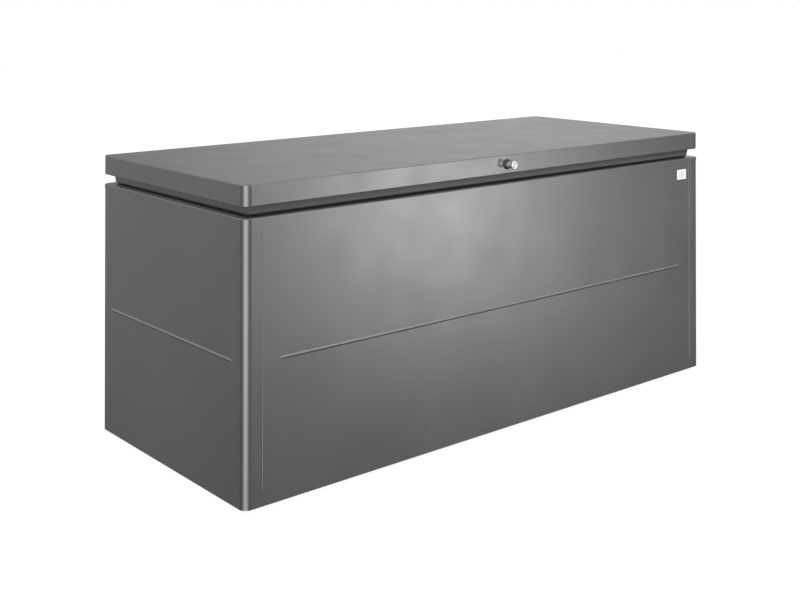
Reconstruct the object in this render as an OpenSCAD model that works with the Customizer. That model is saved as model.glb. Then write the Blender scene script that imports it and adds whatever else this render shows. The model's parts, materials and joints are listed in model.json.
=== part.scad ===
// Steel deck storage box: four wall panels under a flat ledge, and a hinged lid held up by two gas springs.
// Frame: X to the right, Y to the back, Z up. The origin is on the ground, under the middle of the floor.

/* [Overall size] */
// Width over the wall panels, left to right
box_w = 2000; // [1600:10:2400]
// Depth over the wall panels, front to back
box_d = 840; // [650:10:1000]
// Height of the ledge that the lid closes on, above the ground
ledge_z = 791; // [600:1:950]
// Height of the open gap between the ledge and the lid's cap
gap_h = 31; // [25:1:45]
// Height of the lid's cap
cap_h = 60; // [56:1:90]
// Height of the feet below the walls
foot_h = 10; // [6:1:20]

/* [Sheet metal] */
// Thickness of the wall, lid and floor sheets
sheet = 1; // [0.8:0.1:1.5]
// Thickness of the posts, base rails and floor beams
frame_t = 1.5; // [1:0.1:2.5]
// Thickness of the brackets
bracket_t = 2; // [1.5:0.1:3]
// Outer radius of the upright corners
corner_r = 24; // [12:1:27]
// Outer radius of the bend along the top of the cap and the edge of the ledge
edge_r = 2.5; // [2:0.1:3]

/* [Walls] */
// Distance from a side's outer face to the upright seams at the front and back
seam_in = 58; // [50:1:90]
// Outer radius of the bends at the seams
seam_r = 2; // [1.5:0.1:3]
// Gap between two panels' returns at a seam
seam_gap = 0.4; // [0.1:0.1:1]
// Depth of the inward returns at the seams
return_w = 15; // [12:1:25]
// Width of the pressed bead across each wall
bead_w = 10; // [6:0.5:14]
// How far the bead stands out
bead_out = 2.5; // [1:0.5:4]
// Height of the bead above the lower edge of the walls
bead_up = 390; // [200:1:500]
// Distance from a side's face to the ends of the front and back beads
bead_end_x = 117; // [80:1:200]
// Distance from the front face to the ends of the side beads
bead_end_y = 63; // [50:1:120]

/* [Ledge] */
// Width of the ledge, from the wall's outer face to the inside of the apron
ledge_w = 62; // [56:1:90]
// Height of the rim that laps over the top of the walls
rim_h = 12; // [8:1:20]
// Depth of the apron turned down round the opening
apron_h = 24; // [12:1:40]

/* [Base] */
// Height of the base rails
rail_h = 40; // [30:1:60]
// Width of the base rails' lower leg
rail_w = 56; // [44:1:70]
// Width of a floor beam
beam_w = 60; // [40:1:80]
// Distance of the outer beams from the middle
beam_x = 560; // [400:10:700]
// Radius of a foot
foot_r = 16; // [12:1:19]
// Distance of the outer feet from the wall faces
foot_in = 75; // [60:1:120]
// Width of the ribs pressed into the floor
rib_w = 24; // [16:1:40]
// Height of the floor ribs
rib_up = 4; // [2:0.5:6]

/* [Lid] */
// How far the lid's neck is set back under the cap
neck_in = 28; // [24:1:34]
// How far the foot of the neck leans in
neck_lean = 3; // [0:0.5:5]
// Width of the neck's lower flange
neck_flange = 28; // [20:1:30]
// Width of the neck's upper flange
neck_top = 18; // [12:1:30]
// Outer radius of the bend at the foot of the neck
neck_r = 4; // [2:0.5:9]
// Height of the space that the seal fills
seal_h = 3; // [2.5:0.5:6]
// Width of the seal
seal_w = 14; // [8:1:18]
// Depth of the stiffeners under the lid
stiff_h = 20; // [12:1:30]
// Width of a stiffener's flat top
stiff_w = 50; // [30:1:80]
// Distance of the outer lid stiffeners from the middle
stiff_x = 560; // [400:10:700]

/* [Hinges] */
// Distance of the hinges from the middle
hinge_x = 660; // [400:10:780]
// Length of a hinge
hinge_len = 120; // [60:1:160]
// Radius of the hinge pin
pin_r = 3; // [2:0.5:4]
// Outer radius of the hinge knuckles
knuckle_r = 6; // [5:0.5:7]
// Distance of the hinge axis in from the back face
hinge_in = 16; // [12:1:18]
// Height of the hinge axis above the ledge
hinge_up = 18; // [15:1:22]
// Thickness of the hinge leaves
leaf_t = 2.5; // [1.5:0.5:3]

/* [Gas springs] */
// Distance from the hinge axis to both ball joints of a spring
arm = 300; // [240:1:330]
// Angle between the two ball joints about the hinge axis, lid shut
arm_angle = 70; // [66:1:90]
// Angle of the lid's ball joint above the hinge axis, lid shut
arm_tilt = 6; // [2:0.5:7]
// Distance from a side's face to the springs
spring_in = 85; // [80:1:140]
// Outer radius of the pressure tube
tube_r = 11; // [8:0.5:14]
// Wall of the pressure tube
tube_wall = 1.2; // [0.8:0.1:2]
// Radius of the piston rod
rod_r = 5; // [3:0.5:7]
// Radius of the ball studs
ball_r = 5; // [4:0.5:6]
// Distance from a ball to the end of its socket's shank
fitting = 25; // [18:1:35]
// Length of rod that shows with the lid shut
rod_show = 8; // [4:1:20]

/* [Lock] */
// Place of the lock to the right of the middle
lock_x = -10; // [-200:1:200]
// Radius of the rosette around the knob
rosette_r = 16.5; // [14:0.5:22]
// Thickness of the rosette
rosette_t = 5; // [2:0.5:8]
// Radius of the knob's face
knob_r = 13.5; // [10:0.5:18]
// Radius of the knob's stem
stem_r = 8; // [8:0.5:10]
// How far the knob stands out from the cap
knob_out = 36; // [30:1:60]
// Radius of the key plug
plug_r = 6; // [4:0.5:6.5]
// Distance of the cam's pins from the spindle
cam_throw = 16; // [12:1:18]
// Height of the latch rods
latch_h = 20; // [16:1:22]
// Thickness of the latch rods
latch_t = 3; // [2:0.5:5]
// Distance of the strikers from the middle
striker_x = 650; // [300:10:780]
// Width of a striker
striker_w = 24; // [16:1:40]

/* [Badge] */
// Width of the blank badge
badge_w = 51; // [20:1:100]
// Height of the blank badge
badge_h = 36; // [20:1:80]
// Distance from the right face to the middle of the badge
badge_in = 103; // [90:1:200]
// Distance from the ledge down to the middle of the badge
badge_down = 57; // [40:1:200]

/* [Hidden] */
$fn = 64;

play = 0.3;                        // clearance between pieces that move past each other
run = 0.08;                        // radial clearance of a pin or rod in its bore
cut = 1;                           // how far a cutting shape runs past what it cuts
half_w = box_w / 2;
half_d = box_d / 2;
wall_z = foot_h;                   // lower edge of the walls
wall_top = ledge_z - edge_r;       // upper edge of the walls, just under the bend of the rim
rim_out = sheet;                   // the rim lies flat on the outside of the walls
cap_z = ledge_z + gap_h;
top_z = cap_z + cap_h;
seam_x = half_w - seam_in;
bead_z = wall_z + bead_up;
floor_z = wall_z + rail_h;         // top of the base rails and of the floor sheet
above_rail = 2;                    // gap between the base rails and the uprights above them
beam_z = wall_z + frame_t;         // the beams lie on the base rails' lower legs
beam_h = floor_z - sheet - beam_z;
floor_in = sheet + frame_t + 0.5;  // the floor's turned-down edges stand just inside the base rails
neck_z = ledge_z + seal_h;
hinge_y = half_d - hinge_in;
hinge_z = ledge_z + hinge_up;
lock_z = cap_z + cap_h / 2;
skin_z = top_z - sheet;            // underside of the lid's top

dark = [0.30, 0.30, 0.31];
zinc = [0.72, 0.73, 0.74];
black = [0.06, 0.06, 0.06];
chrome = [0.85, 0.86, 0.88];

// ---- Shared shapes ----

// A rectangle with its corners rounded by true arcs, or left square where r is 0
module rounded_rect(w, d, r) {
    if (r > 0) {
        square([w - 2 * r, d], center = true);
        square([w, d - 2 * r], center = true);
        for (sx = [-1, 1], sy = [-1, 1]) translate([sx * (w / 2 - r), sy * (d / 2 - r)]) circle(r);
    } else square([w, d], center = true);
}

// The box's outline, moved in by a distance
module plan(inset) {
    rounded_rect(box_w - 2 * inset, box_d - 2 * inset, max(0, corner_r - inset));
}

// A band that runs right round the box, from one inset to another and from z0 to z1
module band(in0, in1, z0, z1) {
    translate([0, 0, z0]) linear_extrude(z1 - z0) difference() {
        plan(in0);
        plan(in1);
    }
}

// One quarter of a bend in the sheet, centred on its own centre, at the lower left
module bend(r) {
    intersection() {
        difference() {
            circle(r);
            circle(r - sheet);
        }
        translate([-r, -r]) square(r);
    }
}

// A folded sheet, as seen on its edge: a web between a lower and an upper flange, both turned inwards
module channel_profile(web_in, z0, z1, r0, r1, lower_in, upper_in) {
    translate([web_in, z0 + r0]) square([sheet, z1 - z0 - r0 - r1]);
    translate([web_in + r0, z0 + r0]) bend(r0);
    translate([web_in + r1, z1 - r1]) mirror([0, 1]) bend(r1);
    translate([web_in + r0, z0]) square([lower_in - web_in - r0, sheet]);
    translate([web_in + r1, z1 - sheet]) square([upper_in - web_in - r1, sheet]);
}

// Carries a profile right round the box. The profile's X is the distance in from the outer face,
// and its Y is the height. It is rounded where it lies outside the corner's centre, and mitred inside it.
module ring() {
    over = 20;
    difference() {
        union() {
            for (s = ["front", "rear"]) mitred(s) mirror([0, s == "rear" ? 1 : 0, 0])
                translate([-half_w, -half_d, 0]) rotate([90, 0, 90]) linear_extrude(box_w) children();
            for (s = ["left", "right"]) mitred(s) mirror([s == "right" ? 1 : 0, 0, 0])
                translate([-half_w, half_d, 0]) rotate([90, 0, 0]) linear_extrude(box_d) children();
        }
        for (sx = [-1, 1], sy = [-1, 1])
            translate([sx * (half_w + over) , sy * (half_d + over), top_z])
                cube([2 * (corner_r + over), 2 * (corner_r + over), 4 * top_z], center = true);
    }
    for (sx = [0, 1], sy = [0, 1]) mirror([sx, 0, 0]) mirror([0, sy, 0])
        translate([corner_r - half_w, corner_r - half_d, 0]) rotate([0, 0, 180]) rotate_extrude(angle = 90)
            intersection() {
                translate([corner_r, 0]) mirror([1, 0]) children();
                square([corner_r + over, 2 * top_z]);
            }
}

// The share of a ring that belongs to one side, cut at 45 degrees at the corners
module mitred(side) {
    reach = 130;
    over = 20;
    front = [[-half_w - over, -half_d - over], [half_w + over, -half_d - over],
        [half_w - reach, -half_d + reach], [-half_w + reach, -half_d + reach]];
    left = [[-half_w - over, -half_d - over], [-half_w + reach, -half_d + reach],
        [-half_w + reach, half_d - reach], [-half_w - over, half_d + over]];
    intersection() {
        children();
        linear_extrude(2 * top_z)
            if (side == "front") polygon(front);
            else if (side == "rear") mirror([0, 1]) polygon(front);
            else if (side == "left") polygon(left);
            else mirror([1, 0]) polygon(left);
    }
}

// The children as drawn for the left or front, and again mirrored to the right or rear
module on_right() { mirror([1, 0, 0]) children(); }
module on_rear() { mirror([0, 1, 0]) children(); }
module both_sides() { children(); on_right() children(); }

module along_x() { rotate([0, 90, 0]) children(); }
module along_y() { rotate([-90, 0, 0]) children(); }

// A rod along X with round ends
module round_bar(len, r) {
    along_x() cylinder(h = len - 2 * r, r = r, center = true);
    for (s = [-1, 1]) translate([s * (len / 2 - r), 0, 0]) sphere(r);
}

// A pressed bead of length len along X, on a sheet whose outer face is y = 0 and which lies at y > 0.
// bead() is what it adds outside, and bead_hollow() what it takes away behind.
function bead_radius(w, h) = (w * w / 4 + h * h) / (2 * h);
module bead(len, w, h) {
    r = bead_radius(w, h);
    intersection() {
        translate([0, r - h, 0]) round_bar(len + 2 * (r - w / 2), r);
        translate([-len, -2 * h, -w]) cube([2 * len, 2 * h + sheet / 2, 2 * w]);
    }
}
module bead_hollow(len, w, h) {
    r = bead_radius(w, h);
    translate([0, r - h, 0]) round_bar(len + 2 * (r - w / 2) - 2 * sheet, r - sheet);
}

module pan_screw(r, len) {
    head = 0.8 * r;
    union() {
        translate([0, 0, -len]) cylinder(h = len, r = r);
        cylinder(h = head, r1 = 1.9 * r, r2 = 1.3 * r);
    }
}
module hex_bolt(r, len) {
    head = 1.4 * r;
    cylinder(h = len, r = r);
    translate([0, 0, -head]) cylinder(h = head, r = 2 * r, $fn = 6);
}
module hex_nut(r) {
    difference() {
        cylinder(h = nut_h, r = 2 * r, $fn = 6);
        translate([0, 0, -cut]) cylinder(h = nut_h + 2 * cut, r = r + run);
    }
}

// ---- Walls ----

seam_bolt_r = 2.5;
seam_bolt_y = half_d - (return_w + seam_r) / 2;   // half-way across the returns
seam_bolt_n = 4;
nut_h = 4;
bolt_end = 1;                                     // thread past the nut
return_z0 = floor_z + above_rail;
seam_bolt_z = [for (i = [0 : seam_bolt_n - 1])
    return_z0 + (wall_top - return_z0) * (i + 0.5) / seam_bolt_n];

// The holes for the seam bolts, or anything else that sits on their axes, at the front and the back of one side
module at_seam_bolts() {
    for (z = seam_bolt_z, sy = [-1, 1])
        translate([-seam_x, sy * seam_bolt_y, z]) along_x() children();
}
module seam_holes() {
    at_seam_bolts() cylinder(h = 8 * sheet, r = seam_bolt_r + run, center = true);
}

// The upright bend at the left end of a sheet and the return behind it. The corner of the bend is at the origin.
module seam_return() {
    translate([0, 0, return_z0]) linear_extrude(wall_top - return_z0) {
        translate([seam_r, seam_r]) bend(seam_r);
        translate([0, seam_r]) square([sheet, return_w - seam_r]);
    }
}

// Front panel: a flat sheet with a return at each end and a bead across its middle
module front_sheet() {
    end_x = seam_x - seam_gap / 2;
    flat_x = end_x - seam_r;
    difference() {
        union() {
            translate([-flat_x, -half_d, wall_z]) cube([2 * flat_x, sheet, wall_top - wall_z]);
            translate([-end_x, -half_d, wall_z]) cube([2 * end_x, sheet, return_z0 - wall_z]);
            both_sides() translate([-end_x, -half_d, 0]) seam_return();
            translate([0, -half_d, bead_z]) bead(box_w - 2 * bead_end_x, bead_w, bead_out);
        }
        translate([0, -half_d, bead_z]) bead_hollow(box_w - 2 * bead_end_x, bead_w, bead_out);
        both_sides() seam_holes();
    }
}
module front_panel() { color(dark) front_sheet(); }
module rear_panel() { color(dark) on_rear() front_sheet(); }

// Side panel: one sheet that wraps round both corners and returns inwards at the seams
module side_sheet() {
    end_w = seam_in - seam_gap / 2;
    side_bead = box_d - 2 * bead_end_y;
    difference() {
        union() {
            intersection() {
                band(0, sheet, wall_z, wall_top);
                union() {
                    side_slice(end_w - seam_r, top_z);
                    side_slice(end_w, return_z0);
                }
            }
            for (sy = [0, 1]) mirror([0, sy, 0])
                translate([end_w - half_w, -half_d, 0]) on_right() seam_return();
            translate([-half_w, 0, bead_z]) rotate([0, 0, -90]) bead(side_bead, bead_w, bead_out);
        }
        translate([-half_w, 0, bead_z]) rotate([0, 0, -90]) bead_hollow(side_bead, bead_w, bead_out);
        seam_holes();
    }
}
// Everything within w of the left face, up to a height
module side_slice(w, h) {
    translate([-half_w - cut, -half_d - cut, 0]) cube([w + cut, box_d + 2 * cut, h]);
}
module left_side_panel() { color(dark) side_sheet(); }
module right_side_panel() { color(dark) on_right() side_sheet(); }

module seam_bolts() {
    color(zinc) both_sides() at_seam_bolts()
        translate([0, 0, -sheet - seam_gap / 2]) hex_bolt(seam_bolt_r, 2 * sheet + seam_gap + nut_h + bolt_end);
}
module seam_nuts() {
    color(zinc) both_sides() at_seam_bolts() translate([0, 0, sheet + seam_gap / 2]) hex_nut(seam_bolt_r);
}

// Angle posts nested in the rounded corners
post_w = 40;
module corner_posts() {
    color(zinc) for (sx = [0, 1], sy = [0, 1]) mirror([sx, 0, 0]) mirror([0, sy, 0]) intersection() {
        band(sheet, sheet + frame_t, floor_z, wall_top);
        translate([-half_w, -half_d, 0]) cube([post_w, post_w, top_z]);
    }
}

// Upright hat channels behind the long panels, under the hinges and strikers
hat_w = 40;
hat_d = 24;
hat_foot = 14;
module hat_profile(w, d, foot, t) {
    difference() {
        translate([-w / 2, 0]) square([w, d]);
        translate([-w / 2 + t, -cut]) square([w - 2 * t, d - t + cut]);
    }
    for (s = [-1, 1]) translate([s * (w + foot - 2 * t) / 2 - foot / 2, 0]) square([foot, t]);
}
module wall_stiffeners() {
    color(zinc) for (sx = [-1, 1], sy = [0, 1]) mirror([0, sy, 0])
        translate([sx * hinge_x, -half_d + sheet, return_z0])
            linear_extrude(wall_top - return_z0) hat_profile(hat_w, hat_d, hat_foot, sheet);
}

// Blank badge on the front panel
module badge() {
    badge_t = 1;
    badge_r = 1.5;
    color("white") translate([half_w - badge_in, -half_d, ledge_z - badge_down])
        rotate([90, 0, 0]) linear_extrude(badge_t) rounded_rect(badge_w, badge_h, badge_r);
}

// ---- Ledge ----

// Each rail laps over the wall, forms the ledge and turns down round the opening
module ledge_profile() {
    translate([-rim_out, ledge_z - rim_h]) square([sheet, rim_h - edge_r]);
    translate([edge_r - rim_out, ledge_z - edge_r]) mirror([0, 1]) bend(edge_r);
    translate([edge_r - rim_out, ledge_z - sheet]) square([ledge_w + rim_out - 2 * edge_r, sheet]);
    translate([ledge_w - edge_r, ledge_z - edge_r]) rotate(180) bend(edge_r);
    translate([ledge_w - sheet, ledge_z - apron_h]) square([sheet, apron_h - edge_r]);
}
module top_ring() { ring() ledge_profile(); }
module front_top_rail() { color(dark) mitred("front") top_ring(); }
module rear_top_rail() {
    color(dark) difference() {
        mitred("rear") top_ring();
        both_sides() hinge_body_holes();
    }
}
module left_top_rail() { color(dark) mitred("left") top_ring(); }
module right_top_rail() { color(dark) mitred("right") top_ring(); }

// ---- Base ----

module base_ring() {
    union() {
        band(sheet, sheet + frame_t, wall_z, floor_z);
        band(sheet, sheet + rail_w, wall_z, wall_z + frame_t);
    }
}
foot_stem_r = 5;
foot_x = [for (s = [-1, 1]) s * (half_w - foot_in), for (s = [-1, 1]) s * beam_x, 0];
foot_edge = 2;                                    // from a foot to the inner edge of its rail
foot_y = half_d - sheet - rail_w + foot_r + foot_edge;
// Stems of the feet, or their holes, at every foot under the rails
module at_rail_feet() {
    for (x = foot_x, sy = [-1, 1]) translate([x, sy * foot_y, 0]) children();
}
module at_beam_feet() {
    for (x = [-beam_x, 0, beam_x]) translate([x, 0, 0]) children();
}
module foot_holes() {
    at_rail_feet() translate([0, 0, wall_z - cut]) cylinder(h = frame_t + 2 * cut, r = foot_stem_r + run);
}
module base_rail(side) {
    color(zinc) difference() {
        mitred(side) base_ring();
        foot_holes();
    }
}
module front_base_rail() { base_rail("front"); }
module rear_base_rail() { base_rail("rear"); }
module left_base_rail() { base_rail("left"); }
module right_base_rail() { base_rail("right"); }

// Feet: plastic glides pressed into the rails and under the beams
module foot(h) {
    chamfer = 2;
    union() {
        cylinder(h = chamfer, r1 = foot_r - chamfer, r2 = foot_r);
        translate([0, 0, chamfer]) cylinder(h = h - chamfer, r = foot_r);
        cylinder(h = h + frame_t, r = foot_stem_r);
    }
}
module feet() {
    color(black) {
        at_rail_feet() foot(wall_z);
        at_beam_feet() foot(beam_z);
    }
}

// Floor beams: rectangular tubes across the base, on the front and rear rails
beam_len = box_d - 2 * (floor_in + sheet + play);
screw_r = 2;
screw_len = 6;
floor_screw_y = [for (i = [-1.5 : 1 : 1.5]) i * beam_len / 4];
module at_floor_screws() {
    for (x = [-beam_x, 0, beam_x], y = floor_screw_y) translate([x, y, floor_z]) children();
}
module floor_beams() {
    bore_w = beam_w - 2 * frame_t;
    color(zinc) difference() {
        for (x = [-beam_x, 0, beam_x]) translate([x - beam_w / 2, -beam_len / 2, beam_z]) difference() {
            cube([beam_w, beam_len, beam_h]);
            translate([frame_t, -cut, frame_t]) cube([bore_w, beam_len + 2 * cut, beam_h - 2 * frame_t]);
        }
        at_beam_feet() translate([0, 0, beam_z - cut]) cylinder(h = frame_t + 2 * cut, r = foot_stem_r + run);
        floor_screw_holes();
    }
}
module floor_screw_holes() {
    at_floor_screws() translate([0, 0, -screw_len - cut]) cylinder(h = screw_len + 2 * cut, r = screw_r + run);
}

// Floor: a tray with turned-down edges and long pressed ribs between the screw rows
module floor_panel() {
    edge_h = 9;
    rib_end_x = 130;
    rib_len = box_w - 2 * rib_end_x;
    rib_y = [for (i = [-1 : 1]) i * beam_len / 4];
    color(zinc) difference() {
        union() {
            translate([0, 0, floor_z - sheet]) linear_extrude(sheet) plan(floor_in);
            band(floor_in, floor_in + sheet, floor_z - edge_h, floor_z);
            for (y = rib_y) translate([0, y, floor_z]) rotate([90, 0, 0]) mirror([0, 1, 0]) bead(rib_len, rib_w, rib_up);
        }
        for (y = rib_y) translate([0, y, floor_z]) rotate([90, 0, 0]) mirror([0, 1, 0])
            bead_hollow(rib_len, rib_w, rib_up);
        floor_screw_holes();
    }
}
module floor_screws() { color(zinc) at_floor_screws() pan_screw(screw_r, screw_len); }

// ---- Lid ----

// Cap: the top, the skirt and the flange that runs in under the skirt to the neck
module lid_skin() {
    color(dark) difference() {
        union() {
            translate([0, 0, skin_z]) linear_extrude(sheet) plan(edge_r);
            ring() channel_profile(0, cap_z, top_z, edge_r, edge_r, neck_in + neck_top, edge_r + sheet);
        }
        at_lock(-half_d - cut) cylinder(h = sheet + 2 * cut, r = barrel_r + run);
    }
}

// Neck: a channel set back under the cap, one length for each side. Its web leans in towards the foot.
neck_top_r = 2 * sheet;
neck_top_c = [neck_in + neck_top_r, cap_z - neck_top_r];
neck_foot_c = [neck_in + neck_lean + neck_r, neck_z + neck_r];
neck_span = neck_top_c - neck_foot_c;
neck_tilt = asin((neck_top_r - neck_r) / norm(neck_span)) - atan2(neck_span[0], neck_span[1]);
neck_out = [-cos(neck_tilt), -sin(neck_tilt)];    // out of the web, in the profile
neck_web = norm(neck_top_c + neck_top_r * neck_out - neck_foot_c - neck_r * neck_out);

// A bend about its own centre, from one angle to another
module arc_bend(r, from, to) {
    reach = 2 * r;
    intersection() {
        difference() {
            circle(r);
            circle(r - sheet);
        }
        polygon([[0, 0], reach * [cos(from), sin(from)], reach * [cos((from + to) / 2), sin((from + to) / 2)],
            reach * [cos(to), sin(to)]]);
    }
}
module neck_profile() {
    polygon([neck_top_c + neck_top_r * neck_out, neck_foot_c + neck_r * neck_out,
        neck_foot_c + (neck_r - sheet) * neck_out, neck_top_c + (neck_top_r - sheet) * neck_out]);
    translate(neck_foot_c) arc_bend(neck_r, 180 + neck_tilt, 270);
    translate(neck_top_c) arc_bend(neck_top_r, 90, 180 + neck_tilt);
    translate([neck_foot_c[0], neck_z]) square([neck_in + neck_flange - neck_foot_c[0], sheet]);
    translate([neck_top_c[0], cap_z - sheet]) square([neck_in + neck_top - neck_top_c[0], sheet]);
}
module neck_ring() { ring() neck_profile(); }
module lid_front_neck() { color(dark) mitred("front") neck_ring(); }
module lid_rear_neck() {
    color(dark) difference() {
        mitred("rear") neck_ring();
        both_sides() hinge_lid_holes();
    }
}
module lid_left_neck() { color(dark) mitred("left") neck_ring(); }
module lid_right_neck() { color(dark) mitred("right") neck_ring(); }

// Seal: a rubber strip under the neck's lower flange, just clear of the ledge
module lid_seal() {
    seal_in = neck_foot_c[0];
    color(black) band(seal_in, seal_in + seal_w, ledge_z + play, neck_z);
}

// Hat channels across the underside of the lid
latch_room = 24;                                  // room between the ledge's apron and the stiffeners
stiff_y0 = -half_d + ledge_w + latch_room;
module lid_stiffeners() {
    foot = 16;
    len = half_d - edge_r - stiff_y0;
    color(zinc) for (x = [-stiff_x, 0, stiff_x])
        translate([x, stiff_y0, skin_z]) rotate([-90, 0, 0])
            linear_extrude(len) hat_profile(stiff_w, stiff_h, foot, sheet);
}

// ---- Hinges ----

knuckles = 5;
knuckle_gap = 0.4;
knuckle_len = hinge_len / knuckles;
hinge_screw_r = 2.5;
hinge_screw_len = 9;
body_screw_y = hinge_y + 1;
lid_screw_edge = 3 * hinge_screw_r;               // from the leaf's end to its screws
hinge_screw_x = [for (s = [-1, 1]) s * knuckle_len];

module at_body_screws() {
    for (x = hinge_screw_x) translate([-hinge_x + x, body_screw_y, ledge_z]) children();
}
// The outer face of the rear neck: the origin is at its foot, Y runs down it and Z out of it
module on_rear_neck() {
    foot = neck_foot_c + neck_r * neck_out;
    translate([-hinge_x, half_d - foot[0], foot[1]]) rotate([-90 - neck_tilt, 0, 0]) children();
}
module at_lid_screws() {
    on_rear_neck() for (x = [-1, 1] * (hinge_len / 2 - lid_screw_edge)) translate([x, -neck_web / 2, 0]) children();
}
module hinge_body_holes() {
    at_body_screws() cylinder(h = 2 * hinge_screw_len, r = hinge_screw_r + run, center = true);
}
module hinge_lid_holes() {
    at_lid_screws() cylinder(h = 2 * hinge_screw_len, r = hinge_screw_r + run, center = true);
}
// One knuckle in every two, on the hinge axis, counted from first
module knuckle_row(first) {
    for (i = [first : 2 : knuckles - 1])
        translate([-hinge_len / 2 + i * knuckle_len + knuckle_gap / 2, 0, 0]) along_x()
            children();
}
// The left body leaf: a foot on the ledge, and a web up to every other knuckle
module body_leaf() {
    foot_d = 15;
    w = knuckle_len - knuckle_gap;
    color(zinc) difference() {
        translate([-hinge_x, hinge_y, hinge_z]) union() {
            knuckle_row(0) cylinder(h = w, r = knuckle_r);
            knuckle_row(0) translate([0, knuckle_r - leaf_t, 0]) cube([hinge_up, leaf_t, w]);
            translate([-hinge_len / 2, knuckle_r - foot_d, -hinge_up]) cube([hinge_len, foot_d, leaf_t]);
        }
        translate([-hinge_x, hinge_y, hinge_z]) along_x() cylinder(h = hinge_len + 2 * cut, r = pin_r, center = true);
        hinge_body_holes();
    }
}
// The left lid leaf: a plate behind the neck, and a web across to the other knuckles
module lid_leaf() {
    w = knuckle_len - knuckle_gap;
    neck_y = half_d - neck_in - hinge_y;
    color(zinc) difference() {
        union() {
            translate([-hinge_x, hinge_y, hinge_z]) {
                knuckle_row(1) cylinder(h = w, r = knuckle_r);
                knuckle_row(1) translate([-leaf_t / 2, neck_y, 0]) cube([leaf_t, -neck_y, w]);
            }
            on_rear_neck() translate([-hinge_len / 2, -neck_web, 0]) cube([hinge_len, neck_web, leaf_t]);
        }
        translate([-hinge_x, hinge_y, hinge_z]) along_x() cylinder(h = hinge_len + 2 * cut, r = pin_r + run, center = true);
        for (i = [0 : 2 : knuckles - 1])
            translate([-hinge_x - hinge_len / 2 + i * knuckle_len - knuckle_gap / 2, hinge_y, hinge_z]) along_x()
                cylinder(h = knuckle_len + knuckle_gap, r = knuckle_r + play);
        hinge_lid_holes();
    }
}
module left_hinge_body_leaf() { body_leaf(); }
module right_hinge_body_leaf() { on_right() body_leaf(); }
module left_hinge_lid_leaf() { lid_leaf(); }
module right_hinge_lid_leaf() { on_right() lid_leaf(); }
module hinge_pins() {
    color(zinc) both_sides() translate([-hinge_x, hinge_y, hinge_z]) along_x()
        cylinder(h = hinge_len, r = pin_r, center = true);
}
module hinge_body_screws() {
    color(zinc) both_sides() at_body_screws() translate([0, 0, leaf_t]) pan_screw(hinge_screw_r, hinge_screw_len);
}
module hinge_lid_screws() {
    color(zinc) both_sides() at_lid_screws() translate([0, 0, leaf_t]) pan_screw(hinge_screw_r, hinge_screw_len);
}

// ---- Gas springs, drawn for the left side ----

spring_x = -(half_w - spring_in);
spring_len = 2 * arm * sin(arm_angle / 2);
spring_lean = arm_angle / 2 - arm_tilt;          // how far the spring leans forwards, lid shut
lid_ball = [spring_x, hinge_y - arm * cos(arm_tilt), hinge_z + arm * sin(arm_tilt)];
wall_ball = [spring_x, hinge_y - arm * cos(arm_angle - arm_tilt), hinge_z - arm * sin(arm_angle - arm_tilt)];
plate_x = spring_x - 17;                         // inner face of the bracket plates
stud_r = 4;
shank_r = 3;
socket_r = ball_r + 3.5;

// The spring's own axis: Z runs from the wall's ball to the lid's ball
module on_spring() {
    translate(wall_ball) rotate([spring_lean, 0, 0]) children();
}

// A ball, its shank and collar, and its thread through the plate
stud_reach = spring_x - plate_x;
module ball_stud(at) {
    collar_h = 4;
    collar_r = 6.5;
    color(zinc) translate(at) rotate([0, -90, 0]) union() {
        sphere(ball_r);
        cylinder(h = stud_reach, r = shank_r);
        translate([0, 0, stud_reach - collar_h]) cylinder(h = collar_h, r = collar_r, $fn = 6);
        translate([0, 0, stud_reach]) cylinder(h = bracket_t + nut_h + 2 * bolt_end, r = stud_r);
    }
}
module stud_nut(at) {
    translate(at) rotate([0, -90, 0]) translate([0, 0, stud_reach + bracket_t]) hex_nut(stud_r);
}
module lower_stud_nuts() { color(zinc) both_sides() stud_nut(wall_ball); }
module upper_stud_nuts() { color(zinc) both_sides() stud_nut(lid_ball); }
module left_lower_ball_stud() { ball_stud(wall_ball); }
module right_lower_ball_stud() { on_right() ball_stud(wall_ball); }
module left_upper_ball_stud() { ball_stud(lid_ball); }
module right_upper_ball_stud() { on_right() ball_stud(lid_ball); }

// A socket that snaps over a ball, with a shank along the spring
module ball_socket() {
    wall = 1.5;
    neck = 6;
    mouth = 0.86 * ball_r;                        // narrower than the ball, so that the socket snaps over it
    difference() {
        union() {
            along_x() cylinder(h = 2 * (ball_r + wall), r = socket_r, center = true);
            cylinder(h = fitting, r = neck);
        }
        sphere(ball_r + play);
        rotate([0, -90, 0]) cylinder(h = 3 * ball_r, r = mouth);
    }
}

tube_z0 = fitting;
tube_z1 = spring_len - fitting - rod_show;
tube_end = 4;                                     // thickness of the tube's closed end
gland_h = 14;
gland_rim = 2;
piston_h = 10;
module spring_tube() {
    inner = tube_r - tube_wall;
    color(black) on_spring() union() {
        ball_socket();
        difference() {
            translate([0, 0, tube_z0]) cylinder(h = tube_z1 - tube_z0, r = tube_r);
            translate([0, 0, tube_z0 + tube_end]) cylinder(h = tube_z1, r = inner);
        }
    }
}
module left_spring_tube() { spring_tube(); }
module right_spring_tube() { on_right() spring_tube(); }

// Gland: the guide that closes the tube round the rod
module spring_gland() {
    color(zinc) on_spring() translate([0, 0, tube_z1 - gland_h]) difference() {
        union() {
            cylinder(h = gland_h, r = tube_r - tube_wall);
            translate([0, 0, gland_h]) cylinder(h = gland_rim, r = tube_r - tube_wall / 2);
        }
        translate([0, 0, -cut]) cylinder(h = gland_h + gland_rim + 2 * cut, r = rod_r + run);
    }
}
module left_spring_gland() { spring_gland(); }
module right_spring_gland() { on_right() spring_gland(); }

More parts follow.
